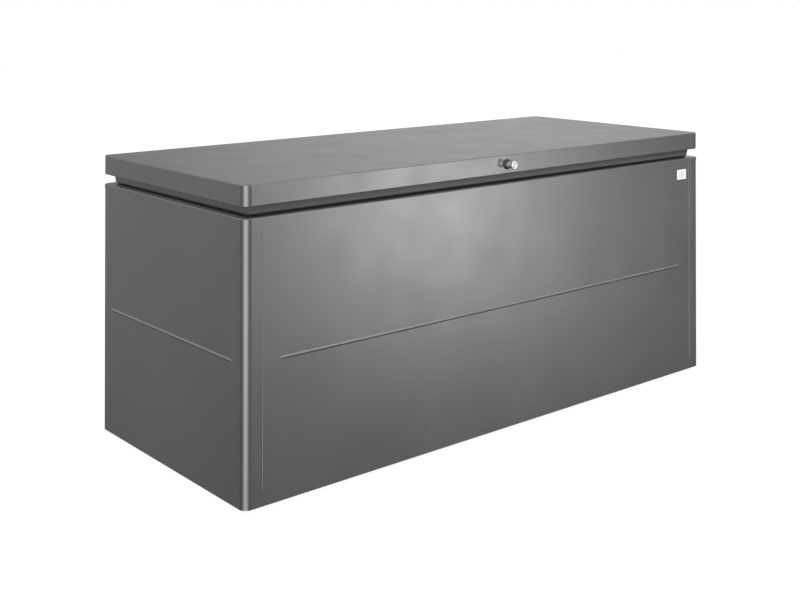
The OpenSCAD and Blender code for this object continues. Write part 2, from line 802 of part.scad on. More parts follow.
// Rod: its socket on the lid's ball, the polished rod, and the piston inside the tube
module spring_rod() {
    piston_z = tube_z0 + tube_end + 6;            // the lid shut, the piston is this far up the tube
    color(chrome) on_spring() union() {
        translate([0, 0, spring_len]) mirror([0, 0, 1]) ball_socket();
        translate([0, 0, piston_z]) cylinder(h = spring_len - fitting - piston_z + cut, r = rod_r);
        translate([0, 0, piston_z]) cylinder(h = piston_h, r = tube_r - tube_wall - play);
    }
}
module left_spring_rod() { spring_rod(); }
module right_spring_rod() { on_right() spring_rod(); }

// Bracket on the side wall: a channel that holds the stud's plate clear of the ledge
module wall_bracket() {
    w = 64;
    h = 90;
    foot = 18;
    depth = plate_x + half_w - sheet;
    translate([-half_w + sheet, wall_ball[1], wall_ball[2] - h / 2]) difference() {
        linear_extrude(h) rotate(-90) hat_profile(w, depth, foot, bracket_t);
        translate([depth - 2 * bracket_t, 0, h / 2]) along_x() cylinder(h = 4 * bracket_t, r = stud_r + run);
    }
}
module spring_body_brackets() { color(zinc) both_sides() wall_bracket(); }

// Bracket under the lid: an angle that hangs the stud's plate inside the opening
module lid_bracket() {
    w = 64;
    foot = 30;
    drop = skin_z - lid_ball[2] + 14;
    difference() {
        translate([plate_x - bracket_t, lid_ball[1] - w / 2, skin_z - drop]) union() {
            cube([bracket_t, w, drop]);
            translate([-foot, 0, drop - bracket_t]) cube([foot + bracket_t, w, bracket_t]);
        }
        translate([plate_x - 2 * bracket_t, lid_ball[1], lid_ball[2]]) along_x()
            cylinder(h = 4 * bracket_t, r = stud_r + run);
    }
}
module spring_lid_brackets() { color(zinc) both_sides() lid_bracket(); }

// ---- Lock ----

barrel_r = 9;
barrel_in = 30;
rod_plane = -half_d + ledge_w + 5;                // front face of the latch rods, just inside the apron
cam_t = 3;
cam_y = rod_plane - play - cam_t;
cam_pin_r = 3;
slot_play = 0.7;                                  // the slots take up the pins' curved path
travel = 2 * cam_throw * sin(45);
spindle = 7;
shaft_end = 4;                                    // how far the knob's shaft comes out behind the barrel
plug_len = 20;
bar_off = 4;                                      // from the lock's height to the near edge of each latch rod

// Puts the children on the lock's axis, with their Z pointing to the back, starting at y
module at_lock(y) {
    translate([lock_x, y, lock_z]) along_y() children();
}

module lock_rosette() {
    color(black) at_lock(-half_d - rosette_t) difference() {
        union() {
            cylinder(h = 2, r1 = rosette_r - 2, r2 = rosette_r);
            translate([0, 0, 2]) cylinder(h = rosette_t - 2, r = rosette_r);
        }
        translate([0, 0, -cut]) cylinder(h = rosette_t + 2 * cut, r = barrel_r + run);
    }
}
module lock_barrel() {
    color(zinc) at_lock(-half_d - rosette_t) difference() {
        cylinder(h = rosette_t + barrel_in, r = barrel_r);
        translate([0, 0, -cut]) cylinder(h = rosette_t + barrel_in + 2 * cut, r = plug_r + play);
    }
}
module lock_nut() {
    h = 5;
    color(zinc) at_lock(-half_d + sheet) difference() {
        cylinder(h = h, r = 1.6 * barrel_r, $fn = 6);
        translate([0, 0, -cut]) cylinder(h = h + 2 * cut, r = barrel_r + run);
    }
}

// Knob: a stem that flares to a round face, bored for the key plug, with a shaft through the barrel
module lock_knob() {
    face_t = 5;
    flare = 9;
    chamfer = 1;
    stem_z = knob_out - rosette_t - play;         // from the face to just off the rosette
    color(chrome) at_lock(-half_d - knob_out) difference() {
        union() {
            cylinder(h = chamfer, r1 = knob_r - chamfer, r2 = knob_r);
            translate([0, 0, chamfer]) cylinder(h = face_t - chamfer, r = knob_r);
            translate([0, 0, face_t]) cylinder(h = flare, r1 = knob_r, r2 = stem_r);
            cylinder(h = stem_z, r = stem_r);
            cylinder(h = knob_out + barrel_in + shaft_end, r = plug_r);
        }
        translate([0, 0, -cut]) cylinder(h = plug_len + cut, r = plug_r + run);
    }
}
// Cam: a disc on a square spindle, with two pins that drive the latch rods
module lock_cam() {
    start = -half_d + barrel_in + shaft_end;
    pin_rim = 6;                                  // from a pin's centre to the disc's edge
    pin_end = 3;                                  // how far a pin comes out past its rod
    color(zinc) union() {
        at_lock(start) translate([-spindle / 2, -spindle / 2, 0]) cube([spindle, spindle, cam_y - start]);
        at_lock(cam_y) cylinder(h = cam_t, r = cam_throw + pin_rim);
        at_lock(cam_y) rotate(-45) for (s = [-1, 1])
            translate([0, s * cam_throw, 0]) cylinder(h = cam_t + play + latch_t + pin_end, r = cam_pin_r);
    }
}
// Key plug, with its keyway
module key_plug() {
    keyway_w = 1.5;
    keyway_h = 1.3 * plug_r;
    keyway_d = 16;
    proud = 0.5;
    color(chrome) at_lock(-half_d - knob_out - proud) difference() {
        cylinder(h = plug_len, r = plug_r);
        translate([-keyway_w / 2, -keyway_h / 2, -cut]) cube([keyway_w, keyway_h, keyway_d + cut]);
    }
}

// Latch rod: a flat bar with a slot for its pin, and a hook that drops beside the striker.
// side is -1 for the left and 1 for the right, and row is -1 for the lower and 1 for the upper bar.
toe_len = travel;                                // the upright stops short of the striker, lid locked
toe_h = 8;
toe_z = ledge_z + 9;
hook_w = 26;
// Places along X: where each hook's toe ends and where its upright begins, lid unlocked
toe_x = striker_x - striker_w / 2 - 4;
hook_x = toe_x - toe_len - hook_w;
module latch_rod(side, row) {
    slot_x = lock_x - side * travel / 2;
    bar_z0 = lock_z + (row > 0 ? bar_off : -bar_off - latch_h);
    inner = slot_x - side * 12;
    outer = side * (hook_x + hook_w);
    slot_mid = lock_z + row * cam_throw * (1 + cos(45)) / 2;
    slot_h = cam_throw * (1 - cos(45)) + 2 * (cam_pin_r + slot_play);
    slot_w = 2 * (cam_pin_r + slot_play);
    color(zinc) difference() {
        translate([0, rod_plane, 0]) union() {
            translate([min(inner, outer), 0, bar_z0]) cube([abs(outer - inner), latch_t, latch_h]);
            translate([side > 0 ? hook_x : -hook_x - hook_w, 0, toe_z])
                cube([hook_w, latch_t, bar_z0 + latch_h - toe_z]);
            translate([side > 0 ? toe_x - toe_len - 1 : -toe_x, 0, toe_z]) cube([toe_len + 1, latch_t, toe_h]);
        }
        translate([slot_x - slot_w / 2, rod_plane - cut, slot_mid - slot_h / 2]) cube([slot_w, latch_t + 2 * cut, slot_h]);
    }
}
module left_latch_rod() { latch_rod(-1, -1); }
module right_latch_rod() { latch_rod(1, 1); }

// Guides: plates that hang from the lid, each with a window for one rod
guide_t = 3;
module latch_guide(x, row) {
    w = 26;
    y0 = rod_plane + latch_t / 2 - w / 2;
    bar_z0 = lock_z + (row > 0 ? bar_off : -bar_off - latch_h);
    z0 = bar_z0 - 4;
    difference() {
        union() {
            translate([x - guide_t / 2, y0, z0]) cube([guide_t, w, skin_z - z0]);
            translate([x - 9, y0, skin_z - 2]) cube([18, w, 2]);
        }
        translate([x - guide_t, rod_plane - play, bar_z0 - play])
            cube([2 * guide_t, latch_t + 2 * play, latch_h + 2 * play]);
    }
}
module latch_guides() {
    color(zinc) {
        for (x = [70, (lock_x + hook_x) / 2 + 60]) latch_guide(x, 1);
        for (x = [-90, (lock_x - hook_x) / 2 - 60]) latch_guide(x, -1);
    }
}

// Striker: a plate inside the apron with a lip over the latch rod's toe
module striker() {
    z0 = ledge_z - apron_h + 4;
    lip_z = toe_z + toe_h + 2.5;
    lip_d = 14;
    translate([-striker_x - striker_w / 2, -half_d + ledge_w, 0]) union() {
        translate([0, 0, z0]) cube([striker_w, bracket_t, lip_z + bracket_t - z0]);
        translate([0, 0, lip_z]) cube([striker_w, lip_d, bracket_t]);
    }
}
module left_striker() { color(zinc) striker(); }
module right_striker() { color(zinc) on_right() striker(); }

// ---- Every node ----

front_panel();
rear_panel();
left_side_panel();
right_side_panel();
front_top_rail();
rear_top_rail();
left_top_rail();
right_top_rail();
corner_posts();
front_base_rail();
rear_base_rail();
left_base_rail();
right_base_rail();
floor_panel();
floor_beams();
feet();
wall_stiffeners();
seam_bolts();
seam_nuts();
floor_screws();
badge();
left_striker();
right_striker();
left_hinge_body_leaf();
right_hinge_body_leaf();
hinge_pins();
hinge_body_screws();
spring_body_brackets();
left_lower_ball_stud();
right_lower_ball_stud();
lid_skin();
lid_front_neck();
lid_rear_neck();
lid_left_neck();
lid_right_neck();
lid_seal();
lid_stiffeners();
left_hinge_lid_leaf();
right_hinge_lid_leaf();
hinge_lid_screws();
spring_lid_brackets();
left_upper_ball_stud();
right_upper_ball_stud();
lower_stud_nuts();
upper_stud_nuts();
lock_rosette();
lock_barrel();
lock_nut();
latch_guides();
lock_knob();
lock_cam();
key_plug();
left_latch_rod();
right_latch_rod();
left_spring_tube();
left_spring_rod();
right_spring_tube();
right_spring_rod();
left_spring_gland();
right_spring_gland();
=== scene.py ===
"""A steel deck storage box, on a plain pale floor in soft studio light.

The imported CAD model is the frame. This script gives every node its finish. It puts more detailed pieces in
place of the knob, its rosette, the badge, the seal, the feet and the fasteners, and adds small fittings to the
gas springs.
"""
import json
import math

import bmesh
import bpy
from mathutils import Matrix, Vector


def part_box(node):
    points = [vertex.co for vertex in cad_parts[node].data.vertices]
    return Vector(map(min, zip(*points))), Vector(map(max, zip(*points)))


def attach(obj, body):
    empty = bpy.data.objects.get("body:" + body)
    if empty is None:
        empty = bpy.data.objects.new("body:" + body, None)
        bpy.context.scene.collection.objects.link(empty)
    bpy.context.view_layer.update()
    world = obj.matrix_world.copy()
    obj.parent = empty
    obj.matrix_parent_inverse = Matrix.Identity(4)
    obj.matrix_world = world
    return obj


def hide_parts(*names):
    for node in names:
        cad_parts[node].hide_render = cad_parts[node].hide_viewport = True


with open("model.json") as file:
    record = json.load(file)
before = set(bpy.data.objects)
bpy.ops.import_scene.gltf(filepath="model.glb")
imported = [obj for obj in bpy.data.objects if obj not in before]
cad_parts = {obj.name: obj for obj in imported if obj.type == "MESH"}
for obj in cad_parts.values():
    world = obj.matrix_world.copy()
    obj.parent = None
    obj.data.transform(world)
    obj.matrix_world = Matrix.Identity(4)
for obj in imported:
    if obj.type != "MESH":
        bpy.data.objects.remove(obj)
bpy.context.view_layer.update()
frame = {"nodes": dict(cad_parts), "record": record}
NODES = frame["nodes"]
SLOT_OF = {row["node"]: row["material_slot"] for row in frame["record"]["subparts"]}
MM = 0.001

FLOOR_SCREW = (3.8 * MM, 1.6 * MM, 2 * MM)        # radius and height of the head, radius of the shank
HINGE_SCREW = (4.75 * MM, 2 * MM, 2.5 * MM)
LID_SCREW_OUT = (0, 0.991, -0.134)                # out of the rear neck, which leans in at its foot
THREAD_PITCH = 0.8 * MM
SEAM_NUT_BORE = 2.55 * MM                         # radius
STUD_NUT_BORE = 4.05 * MM
BALL_R = 5 * MM
WELD_DISTANCE = 1e-6                              # corners of a CAD mesh closer than this are merged


# ---- Camera ----

def make_camera():
    """A level camera at the front left corner, whose picture is shifted up the box instead of tilted."""
    data = bpy.data.cameras.new("camera")
    data.lens = 54.0
    data.sensor_width = 36.0
    data.shift_x = -0.0181
    data.shift_y = -0.3874
    data.clip_end = 100
    camera = bpy.data.objects.new("camera", data)
    bpy.context.scene.collection.objects.link(camera)
    camera.location = (-2.739, -3.163, 1.378)
    camera.rotation_euler = (math.radians(90.49), 0, math.radians(-40.44))
    bpy.context.scene.camera = camera


# ---- Materials ----

class Shader:
    """A Principled material, and short ways to add texture nodes to it."""

    def __init__(self, name, color, roughness, metallic=0.0, **sockets):
        self.material = bpy.data.materials.new(name)
        self.material.use_nodes = True
        self.tree = self.material.node_tree
        self.bsdf = self.tree.nodes["Principled BSDF"]
        self.set("Base Color", (*color, 1))
        self.set("Roughness", roughness)
        self.set("Metallic", metallic)
        for socket, value in sockets.items():
            self.set(socket.replace("_", " "), value)
        self.coords = self.add("ShaderNodeTexCoord").outputs["Object"]
        self.material.diffuse_color = (*color, 1)

    def set(self, socket, value):
        self.bsdf.inputs[socket].default_value = value

    def add(self, kind, **settings):
        node = self.tree.nodes.new(kind)
        for key, value in settings.items():
            setattr(node, key, value)
        return node

    def link(self, a, b):
        self.tree.links.new(a, b)

    def stretched(self, scale):
        """The object's own coordinates, scaled by a different amount along each axis."""
        mapping = self.add("ShaderNodeMapping")
        mapping.inputs["Scale"].default_value = scale
        self.link(self.coords, mapping.inputs["Vector"])
        return mapping.outputs["Vector"]

    def noise(self, scale, detail=3.0, coords=None):
        """Noise from 0 to 1, with about scale features to a metre."""
        node = self.add("ShaderNodeTexNoise")
        node.inputs["Scale"].default_value = scale
        node.inputs["Detail"].default_value = detail
        self.link(coords or self.coords, node.inputs["Vector"])
        return node.outputs["Fac"]

    def cells(self, scale):
        """A random grey for each cell of a crystal pattern, with scale cells to a metre."""
        node = self.add("ShaderNodeTexVoronoi", feature="F1")
        node.inputs["Scale"].default_value = scale
        self.link(self.coords, node.inputs["Vector"])
        grey = self.add("ShaderNodeRGBToBW")
        self.link(node.outputs["Color"], grey.inputs["Color"])
        return grey.outputs["Val"]

    def ramp(self, value, low, high, start=0.3, end=0.7):
        """value from start to end, turned into a number or colour from low to high."""
        node = self.add("ShaderNodeValToRGB")
        wide = [(*c, 1) if isinstance(c, tuple) else (c, c, c, 1) for c in (low, high)]
        node.color_ramp.elements[0].position = start
        node.color_ramp.elements[1].position = end
        node.color_ramp.elements[0].color = wide[0]
        node.color_ramp.elements[1].color = wide[1]
        self.link(value, node.inputs["Fac"])
        return node.outputs["Color"]

    def mix(self, a, b, factor):
        """Colour a where factor is 0, and colour b where it is 1."""
        node = self.add("ShaderNodeMix", data_type="RGBA")
        for value, socket in ((a, node.inputs[6]), (b, node.inputs[7]), (factor, node.inputs[0])):
            if hasattr(value, "links"):
                self.link(value, socket)
            elif isinstance(value, tuple):
                socket.default_value = (*value, 1)
            else:
                socket.default_value = value
        return node.outputs[2]

    def into(self, socket, output):
        self.link(output, self.bsdf.inputs[socket])

    def bump(self, *layers):
        """Bump layers, each (height output, height in metres of its white parts)."""
        last = None
        for height, distance in layers:
            node = self.add("ShaderNodeBump")
            node.inputs["Strength"].default_value = 1.0
            node.inputs["Distance"].default_value = distance
            self.link(height, node.inputs["Height"])
            if last:
                self.link(last, node.inputs["Normal"])
            last = node.outputs["Normal"]
        self.into("Normal", last)


def coated_steel():
    """Dark grey metallic powder coat: faint orange peel and large faint cloudiness."""
    s = Shader("coated_steel", (0.16, 0.16, 0.163), 0.25, 0.75)
    s.into("Base Color", s.ramp(s.noise(2.5, 4), (0.152, 0.152, 0.155), (0.168, 0.168, 0.171)))
    s.into("Roughness", s.ramp(s.noise(7, 5), 0.235, 0.275))
    s.bump((s.noise(420, 1), 0.000004), (s.noise(3, 2), 0.00008))
    return s.material


def galvanised():
    """Zinc-dipped sheet with its crystal spangle, and some dull patches."""
    s = Shader("galvanised", (0.55, 0.56, 0.57), 0.4, 1.0)
    spangle = s.cells(75)
    base = s.ramp(spangle, (0.42, 0.43, 0.44), (0.62, 0.63, 0.64), 0.2, 0.8)
    dull = s.ramp(s.noise(5, 6), 0.0, 0.35, 0.5, 0.8)
    s.into("Base Color", s.mix(base, (0.46, 0.465, 0.47), dull))
    s.into("Roughness", s.ramp(spangle, 0.34, 0.5, 0.2, 0.8))
    s.bump((s.noise(60, 3), 0.00008))
    return s.material


def zinc_steel():
    """Bright zinc plate on pressed and turned steel."""
    s = Shader("zinc_steel", (0.62, 0.63, 0.64), 0.28, 1.0)
    s.into("Base Color", s.ramp(s.noise(25, 5), (0.56, 0.56, 0.555), (0.66, 0.67, 0.68)))
    s.into("Roughness", s.ramp(s.noise(180, 4), 0.22, 0.36))
    s.bump((s.noise(500, 2), 0.00001))
    return s.material


def rubber():
    s = Shader("seal_rubber", (0.014, 0.014, 0.014), 0.75)
    s.into("Base Color", s.ramp(s.noise(30, 4), (0.010, 0.010, 0.010), (0.020, 0.020, 0.020)))
    s.into("Roughness", s.ramp(s.noise(90, 3), 0.66, 0.84))
    s.bump((s.noise(900, 2), 0.00003))
    return s.material


def black_plastic(name, roughness):
    """Moulded black plastic with a fine spark-eroded grain."""
    s = Shader(name, (0.018, 0.018, 0.019), roughness)
    s.into("Base Color", s.ramp(s.noise(40, 3), (0.014, 0.014, 0.015), (0.024, 0.024, 0.025)))
    s.into("Roughness", s.ramp(s.noise(60, 3), roughness - 0.06, roughness + 0.08))
    s.bump((s.noise(1800, 1), 0.00002))
    return s.material


def badge_plastic(name, level):
    s = Shader(name, (level, level, level), 0.3, Coat_Weight=0.3, Coat_Roughness=0.1)
    s.into("Base Color", s.ramp(s.noise(60, 2), level - 0.03, level + 0.02))
    s.into("Roughness", s.ramp(s.noise(150, 2), 0.26, 0.36))
    return s.material


def chrome(name, roughness, along=(1, 1, 1)):
    """Polished chrome with a trace of fine polishing lines along one axis."""
    s = Shader(name, (0.70, 0.71, 0.72), roughness, 1.0)
    lines = s.noise(220, 3, s.stretched(along))
    s.into("Base Color", s.ramp(lines, (0.66, 0.67, 0.68), (0.74, 0.75, 0.76)))
    s.into("Roughness", s.ramp(lines, roughness - 0.03, roughness + 0.05))
    return s.material


def spring_black():
    s = Shader("spring_black", (0.012, 0.012, 0.012), 0.24, Coat_Weight=0.5, Coat_Roughness=0.12)
    s.into("Base Color", s.ramp(s.noise(40, 3), (0.009, 0.009, 0.009), (0.017, 0.017, 0.017)))
    s.into("Roughness", s.ramp(s.noise(120, 3), 0.2, 0.32))
    s.bump((s.noise(500, 1), 0.000008))
    return s.material


MATERIALS = {
    "coated_steel": coated_steel(),
    "galvanised": galvanised(),
    "zinc_steel": zinc_steel(),
    "seal_rubber": rubber(),
    "glide_plastic": black_plastic("glide_plastic", 0.6),
    "badge_plastic": badge_plastic("badge_plastic", 0.9),
    "black_plastic": black_plastic("black_plastic", 0.42),
    "knob_chrome": chrome("knob_chrome", 0.27),
    "spring_black": spring_black(),
    "rod_chrome": chrome("rod_chrome", 0.07, (8, 8, 0.2)),
}


def shade_by_angle(obj, degrees=30):
    """Smooth shading on curved stretches, with sharp edges where the surface turns by more than the angle."""
    mesh = obj.data
    mesh.shade_smooth()
    mesh.set_sharp_from_angle(angle=math.radians(degrees))


def finish_nodes():
    """Gives each CAD node the material of its slot."""
    for name, obj in NODES.items():
        obj.data.materials.clear()
        obj.data.materials.append(MATERIALS[SLOT_OF[name]])
        shade_by_angle(obj)


def soften(width, *names):
    """Rounds the edges of CAD nodes a little, as tumbling or plating leaves them."""
    for name in names:
        obj = NODES[name]
        weld = obj.modifiers.new("weld", "WELD")
        weld.merge_threshold = WELD_DISTANCE
        bevel = obj.modifiers.new("bevel", "BEVEL")
        bevel.width = width
        bevel.segments = 2
        bevel.limit_method = "ANGLE"
        bevel.angle_limit = math.radians(40)
        bevel.use_clamp_overlap = True


# ---- Detailed pieces ----

def piece(name, bm, body, slot, *replaced):
    """Makes an object of a finished bmesh, which rides on a body and stands for CAD nodes."""
    mesh = bpy.data.meshes.new(name)
    bmesh.ops.recalc_face_normals(bm, faces=bm.faces)
    bm.to_mesh(mesh)
    bm.free()
    obj = bpy.data.objects.new(name, mesh)
    bpy.context.scene.collection.objects.link(obj)
    mesh.materials.append(MATERIALS[slot])
    shade_by_angle(obj)
    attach(obj, body)
    if replaced:
        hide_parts(*replaced)
    return obj


def islands(node):
    """The box of each separate solid in a CAD node, as (lowest corner, highest corner)."""
    bm = bmesh.new()
    bm.from_mesh(NODES[node].data)
    bmesh.ops.remove_doubles(bm, verts=bm.verts, dist=WELD_DISTANCE)
    left = set(bm.verts)
    boxes = []
    while left:
        group = [left.pop()]
        for vert in group:
            for edge in vert.link_edges:
                other = edge.other_vert(vert)
                if other in left:
                    left.remove(other)
                    group.append(other)
        boxes.append(tuple(
            Vector([pick(v.co[axis] for v in group) for axis in range(3)]) for pick in (min, max)))
    bm.free()
    return sorted(boxes, key=lambda pair: tuple(pair[0]))


def middle_of(box):
    low, high = box
    return Vector([(a + b) / 2 for a, b in zip(low, high)])


def ring_of(bm, at, turn, radius, height, segments):
    """Corners round an axis. The radius may be a function of the angle, for a hexagon or a star."""
    ring = []
    for i in range(segments):
        angle = 2 * math.pi * i / segments
        r = radius(angle) if callable(radius) else radius
        spot = Vector((r * math.cos(angle), r * math.sin(angle), height))
        ring.append(bm.verts.new(Vector(at) + turn @ spot))
    return ring


def rings_of(bm, at, along, profile, segments):
    """A ring for each (radius, height) of a profile. The axis starts at a point, and has a direction."""
    turn = Vector(along).to_track_quat("Z", "Y").to_matrix()
    return [ring_of(bm, at, turn, radius, height, segments) for radius, height in profile]


def bridge(bm, ring, after):
    """Faces between two rings with the same number of corners."""
    for i in range(len(ring)):
        j = (i + 1) % len(ring)
        bm.faces.new((ring[i], ring[j], after[j], after[i]))


def loft_into(bm, rings):
    """Joins each ring to the next, and closes both ends."""
    bm.faces.new(rings[0][::-1])
    for ring, after in zip(rings, rings[1:]):
        bridge(bm, ring, after)
    bm.faces.new(rings[-1])


def loop_into(bm, rings):
    """Joins each ring to the next, and the last to the first."""
    for k, ring in enumerate(rings):
        bridge(bm, ring, rings[(k + 1) % len(rings)])


def turned_into(bm, at, along, profile, segments=48):
    """Adds a turned solid."""
    loft_into(bm, rings_of(bm, at, along, profile, segments))


def tube_into(bm, at, along, profile, segments=48):
    """Adds a turned shape whose profile closes on itself, such as a washer or a nut."""
    loop_into(bm, rings_of(bm, at, along, profile, segments))


def hexagon(corner_radius):
    """The radius of a hexagon at an angle."""
    inner = corner_radius * math.cos(math.pi / 6)
    return lambda angle: inner / math.cos((angle + math.pi / 6) % (math.pi / 3) - math.pi / 6)


def star(radius):
    """The radius of a six-lobed socket at an angle."""
    return lambda angle: radius * (1 + 0.16 * math.cos(6 * angle))


def thread(radius, start, end, pitch):
    """Rings of a threaded stretch."""
    turns = max(1, round(abs(end - start) / pitch))
    step = (end - start) / turns
    rings = []
    for i in range(turns):
        rings += [(radius, start + i * step), (radius * 0.9, start + (i + 0.5) * step)]
    return rings + [(radius, end)]


def screws(name, node, body, along, head_r, head_h, shank_r):
    """A domed screw with a six-lobed socket for each solid of a node. along points out of the head."""
    bm = bmesh.new()
    along = Vector(along).normalized()
    main = max(range(3), key=lambda i: abs(along[i]))
    lean = math.sqrt(max(0.0, 1 - along[main] ** 2))
    dome = [(0.96, -1), (1, -0.8), (0.93, -0.45), (0.78, -0.15), (0.6, 0)]    # shares of head_r and head_h
    head = [(head_r * r, head_h * z) for r, z in dome]
    head += [(star(head_r * 0.42), 0), (star(head_r * 0.38), -0.6 * head_h), (head_r * 0.1, -0.7 * head_h)]
    for low, high in islands(node):
        whole = ((high - low)[main] - lean * (head_r + shank_r)) / abs(along[main])
        far = (low + high) / 2 + along * whole / 2
        turned_into(bm, far, along, thread(shank_r, -whole, -head_h, THREAD_PITCH) + head, 36)
    piece(name, bm, body, "zinc_steel", node)


def hex_bolts(name, node, body, head_side):
    """A hexagon bolt for each solid. head_side turns a solid's middle into the direction out of its head."""
    bm = bmesh.new()
    for low, high in islands(node):
        middle = (low + high) / 2
        along = head_side(middle)
        span = high.x - low.x
        head_r = max(high.z - low.z, high.y - low.y) / 2
        head_h = 0.7 * head_r
        washer = head_r * 0.98
        flats = hexagon(head_r * 0.97)
        profile = thread(head_r / 2, -span, -head_h, THREAD_PITCH)
        profile += [(washer, -head_h), (washer, -head_h + 0.5 * MM), (flats, -head_h + 0.6 * MM)]
        profile += [(flats, -0.35 * MM), (head_r * 0.8, 0)]
        turned_into(bm, middle + along * span / 2, along, profile, 36)
    piece(name, bm, body, "zinc_steel", node)


def hex_nuts(name, node, body, bore):
    """A chamfered nut for each solid of a node, all of them along X."""
    bm = bmesh.new()
    for low, high in islands(node):
        h = (high.x - low.x) / 2
        corners = max(high.z - low.z, high.y - low.y) / 2
        flats = hexagon(corners)
        end = corners * 0.86
        profile = [(bore, -h), (end, -h), (flats, -0.8 * h), (flats, 0.8 * h), (end, h), (bore, h)]
        tube_into(bm, (low + high) / 2, (1, 0, 0), profile, 36)
    piece(name, bm, body, "zinc_steel", node)


def make_knob():
    """The turned chrome knob, with a rounded edge and a widened mouth round the key plug."""
    low, high = (Vector(c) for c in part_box("lock_knob"))
    axis = Vector(((low.x + high.x) / 2, low.y, (low.z + high.z) / 2))
    face = (high.x - low.x) / 2
    length = high.y - low.y
    stem_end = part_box("lock_rosette")[0][1] - low.y - 0.3 * MM
    plug_low, plug_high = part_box("key_plug")
    plug = (plug_high[0] - plug_low[0]) / 2
    bore_end = 20 * MM
    core = 1.5 * MM
    # mm out from the plug, or in from the edge of the face, and mm back from the front
    mouth = [(0.1, 2.2), (0.3, 2.0), (1.9, 0.2), (2.2, 0.05)]
    edge = [(2.2, 0.0), (0.9, 0.3), (0.2, 1.0), (0, 1.9), (0, 3.6)]
    neck = [(0.35, 4.5), (1.0, 5.8), (1.7, 7.6), (2.2, 10.0)]
    neck += [(2.5, 13.0), (2.6, 17.0), (2.6, 22.0), (2.4, 27.0)]
    rings = [(plug + 0.1 * MM, bore_end)]
    rings += [(plug + out * MM, back * MM) for out, back in mouth]
    rings += [(face - inward * MM, back * MM) for inward, back in edge + neck]
    rings += [(face - 2.2 * MM, stem_end - 1.2 * MM), (face - 2.4 * MM, stem_end)]
    rings += [(plug, stem_end), (plug, length - 0.6 * MM), (plug - 0.6 * MM, length)]
    rings += [(core, length), (core, bore_end)]
    bm = bmesh.new()
    tube_into(bm, axis, (0, 1, 0), rings, 72)
    piece("knob", bm, "lock_knob", "knob_chrome", "lock_knob")


def make_rosette():
    """The black moulded ring behind the knob."""
    low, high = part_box("lock_rosette")
    outer = (high[0] - low[0]) / 2
    deep = high[1] - low[1]
    barrel_low, barrel_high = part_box("lock_barrel")
    bore = (barrel_high[0] - barrel_low[0]) / 2 + 0.08 * MM
    knob_low, knob_high = (Vector(c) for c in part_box("lock_knob"))
    at = ((knob_low.x + knob_high.x) / 2, low[1], (knob_low.z + knob_high.z) / 2)
    rings = [(bore, deep), (bore, 0.9 * MM), (bore + 0.8 * MM, 0.3 * MM), (bore + 1.8 * MM, 0.1 * MM)]
    edge = [(3.4, 0.0), (2.2, 0.25), (1.1, 0.8), (0.4, 1.6), (0, 2.7)]    # mm in from the rim, mm back
    rings += [(outer - inward * MM, back * MM) for inward, back in edge]
    rings += [(outer, deep - 0.4 * MM), (outer - 0.3 * MM, deep)]
    bm = bmesh.new()
    tube_into(bm, at, (0, 1, 0), rings, 72)
    piece("rosette", bm, "lid", "black_plastic", "lock_rosette")


def rounded_outline(w, h, r, steps=8):
    """Corner points of a rounded rectangle, counter-clockwise, about its middle."""
    points = []
    for cx, cz, start in ((1, 1, 0), (-1, 1, 90), (-1, -1, 180), (1, -1, 270)):
        for i in range(steps + 1):
            a = math.radians(start + 90 * i / steps)
            points.append((cx * (w / 2 - r) + r * math.cos(a), cz * (h / 2 - r) + r * math.sin(a)))
    return points


def plate_into(bm, at, layers):
    """Adds a plate that faces -Y. layers is (width, height, corner radius, distance out), back to front."""
    loft_into(bm, [
        [bm.verts.new((at[0] + x, at[1] - out, at[2] + z)) for x, z in rounded_outline(w, h, r)]
        for w, h, r, out in layers])


def make_badge():
    """A blank white badge with a raised rim round a slightly greyer field."""
    low, high = (Vector(c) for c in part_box("badge"))
    w, h, t = high.x - low.x, high.z - low.z, high.y - low.y
    at = ((low.x + high.x) / 2, high.y, (low.z + high.z) / 2)
    rim = 8 * MM
    bm = bmesh.new()
    plate_into(bm, at, [
        (w, h, 2 * MM, 0), (w, h, 2 * MM, t - 0.25 * MM), (w - 0.5 * MM, h - 0.5 * MM, 1.8 * MM, t),
        (w - 2 * rim, h - 1.3 * rim, 2.2 * MM, t), (w - 2.1 * rim, h - 1.4 * rim, 2 * MM, t - 0.3 * MM)])
    piece("badge_rim", bm, "root", "badge_plastic", "badge")
    bm = bmesh.new()
    field_w = w - 2.3 * rim
    field_h = h - 1.6 * rim
    plate_into(bm, at, [
        (field_w, field_h, 1.8 * MM, t - 0.35 * MM), (field_w, field_h, 1.8 * MM, t - 0.15 * MM),
        (w - 2.4 * rim, h - 1.7 * rim, 1.6 * MM, t - 0.1 * MM)])
    field = piece("badge_field", bm, "root", "badge_plastic")
    field.data.materials[0] = badge_plastic("badge_field", 0.66)


def make_seal():
    """The rubber strip under the lid: a flat back and three soft ribs, mitred at the corners."""
    low, high = (Vector(c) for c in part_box("lid_seal"))
    inner_x = min(abs(v.co.x) for v in NODES["lid_seal"].data.vertices)
    wide = high.x - inner_x
    deep = high.z - low.z
    back = 0.45                                   # share of the depth that is the flat back
    ribs = 3
    section = [(0.0, 0.0), (0.0, back)]           # (share of the width, share of the depth)
    for k in range(ribs):
        for i in range(7):
            a = math.pi * i / 6
            section.append(((k + 0.5 - 0.42 * math.cos(a)) / ribs, back + (1 - back) * math.sin(a)))
    section += [(1.0, back), (1.0, 0.0)]
    bm = bmesh.new()
    rings = []
    for u, v in section:
        x, y, z = high.x - u * wide, high.y - u * wide, high.z - v * deep
        rings.append([bm.verts.new(corner) for corner in ((x, y, z), (-x, y, z), (-x, -y, z), (x, -y, z))])
    loop_into(bm, rings)
    piece("seal_strip", bm, "lid", "seal_rubber", "lid_seal")


